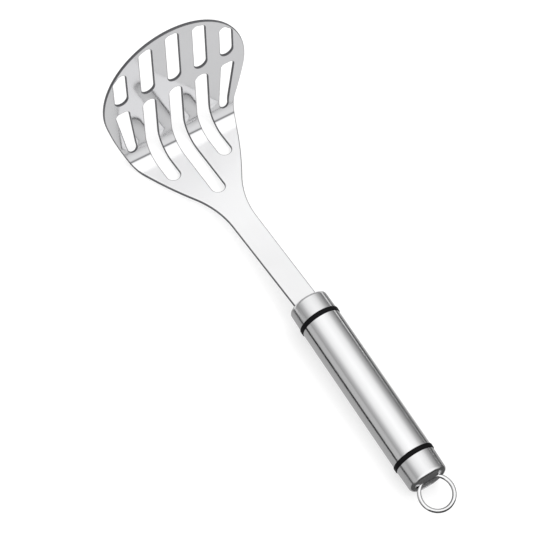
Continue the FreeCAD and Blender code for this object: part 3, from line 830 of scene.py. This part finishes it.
def ring_mesh():
    """A round ring with one straight side, which sits in the end cap's slot."""
    near = RING_REACH - RING_CORNER
    reach = RING_RADIUS - RING_CORNER
    across = math.sqrt(reach ** 2 - near ** 2)
    turn = math.degrees(math.atan2(across, near))
    path = straight((0, -across), (0, across), 0.8)
    path += arc((-RING_CORNER, across), RING_CORNER, 0, turn, 6)
    path += arc((-RING_REACH, 0), RING_RADIUS, turn, 360 - turn, 110)[1:]
    path += arc((-RING_CORNER, -across), RING_CORNER, -turn, 0, 6)[1:-1]
    loop = bpy.data.meshes.new("ring_path")
    loop.from_pydata([(p.x * MM, p.y * MM, 0) for p in path],
                     [(i, (i + 1) % len(path)) for i in range(len(path))], [])
    mesh = grown("hanging_ring_wire", loop, wire_tree(), Wire_radius=WIRE / 2 * MM,
                 Steel=WIRE_STEEL)
    mesh.transform(RING)
    return mesh


finished_piece("hanging_ring_wire", ring_mesh(), "ring", "hanging_ring")


# ---------------------------------------------------------------- floor, light, camera

DOME_STRENGTH = 1.58
BESIDE_HANDLE = (-0.20, 0.03)      # stretch of the table that the handle's sides reflect


def floor():
    mesh = bpy.data.meshes.new("table_top")
    reach = 1.5
    mesh.from_pydata([(-reach, -reach, 0), (reach, -reach, 0), (reach, reach, 0),
                      (-reach, reach, 0)], [], [(0, 1, 2, 3)])
    top = bpy.data.objects.new("table_top", mesh)
    bpy.context.scene.collection.objects.link(top)
    finish = Finish("white_table").set(Base_Color=(0.5, 0.5, 0.5, 1), Roughness=0.9,
                                       Specular_IOR_Level=0.1, Emission_Color=(1, 1, 1, 1),
                                       Emission_Strength=0.5)      # a lit light table
    mesh.materials.append(finish.material)


def panel(name, place, target, width, height, power):
    """A soft light that faces a point, and that no steel reflects."""
    light = bpy.data.lights.new(name, "AREA")
    light.shape = "RECTANGLE"
    light.size, light.size_y = width, height
    light.energy = power
    lamp = bpy.data.objects.new(name, light)
    bpy.context.scene.collection.objects.link(lamp)
    lamp.location = place
    lamp.rotation_mode = "QUATERNION"
    lamp.rotation_quaternion = (Vector(target) - Vector(place)).to_track_quat("-Z", "Y")
    lamp.visible_glossy = False


def studio_dome():
    """A light tent: bright overhead and behind the handle, dim low down on both sides."""
    world = bpy.data.worlds.new("light_tent")
    bpy.context.scene.world = world
    world.use_nodes = True
    nodes, link = world.node_tree.nodes, world.node_tree.links.new

    def number(operation, first, second):
        node = nodes.new("ShaderNodeMath")
        node.operation = operation
        for socket, value in zip(node.inputs, (first, second)):
            if isinstance(value, (int, float)):
                socket.default_value = value
            else:
                link(value, socket)
        return node.outputs[0]

    coords = nodes.new("ShaderNodeTexCoord")
    split = nodes.new("ShaderNodeSeparateXYZ")
    link(coords.outputs["Generated"], split.inputs[0])
    behind = number("MAXIMUM", number("MULTIPLY", split.outputs["X"], -0.7), 0.0)
    height = number("ADD", split.outputs["Z"], behind)
    ramp = nodes.new("ShaderNodeValToRGB")
    link(height, ramp.inputs["Fac"])
    stops = ((0.0, 0.06), (0.12, 0.16), (0.36, 0.34), (0.55, 0.46), (0.78, 0.82), (1.0, 1.0))
    elements = ramp.color_ramp.elements
    elements[0].position, elements[0].color = stops[0][0], (stops[0][1],) * 3 + (1,)
    elements[1].position, elements[1].color = stops[-1][0], (stops[-1][1],) * 3 + (1,)
    for position, level in stops[1:-1]:
        elements.new(position).color = (level,) * 3 + (1,)
    softbox = number("MULTIPLY", number("MAXIMUM", number("SUBTRACT", height, 0.95), 0.0), 5.0)
    back = nodes["Background"]
    link(ramp.outputs["Color"], back.inputs["Color"])
    link(number("ADD", number("MINIMUM", softbox, 0.05), DOME_STRENGTH), back.inputs["Strength"])


def card(name, corners, brightness):
    """A studio card, seen only in what the steel reflects."""
    mesh = bpy.data.meshes.new(name)
    mesh.from_pydata(corners, [], [(0, 1, 2, 3)])
    board = bpy.data.objects.new(name, mesh)
    bpy.context.scene.collection.objects.link(board)
    finish = Finish(name).set(Base_Color=(0, 0, 0, 1), Roughness=1.0, Specular_IOR_Level=0.0,
                              Emission_Color=(1, 1, 1, 1), Emission_Strength=brightness)
    mesh.materials.append(finish.material)
    board.visible_camera = False
    board.visible_diffuse = False
    board.visible_shadow = False


def lying(x, y, height=0.0006):
    """The corners of a card that lies on the table, between two stations each way."""
    return [(x[0], y[0], height), (x[1], y[0], height), (x[1], y[1], height),
            (x[0], y[1], height)]


def camera():
    """Camera over the table, looking down the blade and the handle."""
    azimuth, height, roll = math.radians(140.818), math.radians(62.133), math.radians(8.394)
    distance = 1.313369
    pan = (-4.972 * MM, -6.597 * MM)
    target = Vector((166.3 * MM, 0, 0))
    back = Vector((math.cos(height) * math.cos(azimuth), math.cos(height) * math.sin(azimuth),
                   math.sin(height)))
    right = Vector((0, 0, 1)).cross(back).normalized()
    up = back.cross(right)
    turned_right = right * math.cos(roll) + up * math.sin(roll)
    turned_up = up * math.cos(roll) - right * math.sin(roll)
    place = Matrix((turned_right, turned_up, back)).transposed().to_4x4()
    place.translation = target + back * distance + turned_right * pan[0] + turned_up * pan[1]
    data = bpy.data.cameras.new("view")
    data.sensor_width = 36.0
    data.lens = 149.37
    data.clip_start, data.clip_end = 0.05, 20
    eye = bpy.data.objects.new("view", data)
    bpy.context.scene.collection.objects.link(eye)
    eye.matrix_world = HANDLE @ place
    bpy.context.scene.camera = eye


floor()
studio_dome()
panel("key", (0.05, -0.55, 1.2), (0.0, 0.0, 0.0), 0.7, 0.7, 4.0)
for name, across, brightness in (("grey_card_left", (0.004, 0.052), 0.56),
                                 ("dark_strip_left", (0.052, 0.104), 0.0),
                                 ("grey_card_right", (-0.060, -0.004), 0.52),
                                 ("dark_edge_right", (-0.105, -0.060), 0.0),
                                 ("dark_strip_right", (-0.5, -0.105), 0.30)):
    card(name, lying(BESIDE_HANDLE, across), brightness)
card("fill_card_left", [(-0.25, 0.106, 0), (0.03, 0.106, 0), (0.03, 0.112, 0.055),
                        (-0.25, 0.112, 0.055)], 0.72)
card("dark_card_under_ring", lying((-0.80, -0.1365), (-0.50, 0.50), 0.0009), 0.12)
card("dark_card_behind", [(-0.20, -0.07, 0), (-0.20, 0.07, 0), (-0.20, 0.07, 0.055),
                          (-0.20, -0.07, 0.055)], 0.06)
camera()
bpy.context.scene.view_settings.view_transform = "Standard"
bpy.context.scene.view_settings.look = "None"

# the hidden pieces keep their CAD shapes
for node, material in (("front_plug", NYLON), ("rear_plug", NYLON), ("tang_pins", PIN_STEEL)):
    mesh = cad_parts[node].data
    mesh.materials.clear()
    mesh.materials.append(material)
